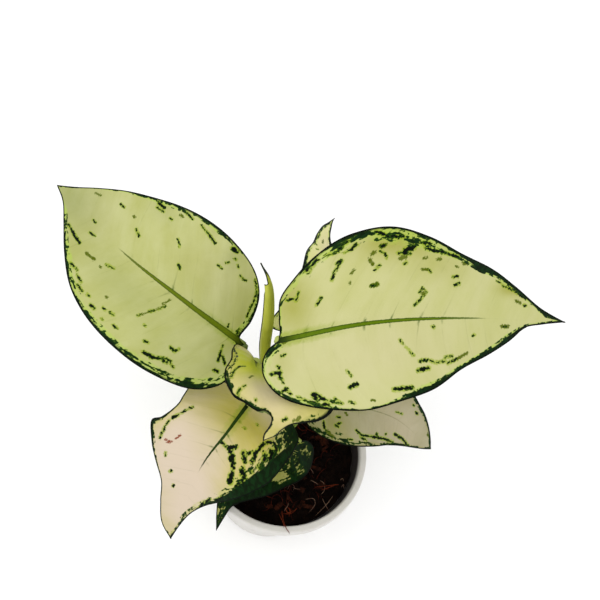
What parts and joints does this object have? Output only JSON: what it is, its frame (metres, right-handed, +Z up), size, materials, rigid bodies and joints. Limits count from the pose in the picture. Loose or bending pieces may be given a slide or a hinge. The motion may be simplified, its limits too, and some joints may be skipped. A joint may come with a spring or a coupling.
{
  "type": "potted white joy chinese evergreen",
  "caption": "Potted house plant with broad pointed cream leaves edged and flecked in green, on a short leaning cane in a thin-walled white nursery pot.",
  "frame": {"origin": "middle of the pot's flat base, on the surface that the pot stands on", "axes": "+Z up; the large right leaf points to +X, the left leaf to -X and the viewer stands at -Y"},
  "size_m": [0.2475, 0.1734, 0.2094],
  "materials": {
    "pot_plastic": "moulded white plastic, satin",
    "potting_mix": "dark peat with husk chips and reddish coir strands",
    "stem": "green cane with pale leaf scars",
    "new_leaf": "rolled young leaf, satin",
    "leaf": "cream leaf with a dark green margin and green flecks, glossy",
    "old_leaf": "pinkish cream old leaf with dark green patches, glossy",
    "dark_leaf": "dark green leaf with cream patches, glossy"
  },
  "bodies": {
    "root": {"pot": "pot_plastic", "potting_mix": "potting_mix", "stem": "stem", "leaf_furled": "new_leaf", "leaf_right": "leaf", "leaf_left": "leaf", "leaf_front": "leaf", "leaf_back": "leaf", "leaf_low_left": "old_leaf", "leaf_low_right": "old_leaf", "leaf_under": "dark_leaf"}
  },
  "joints": []
}
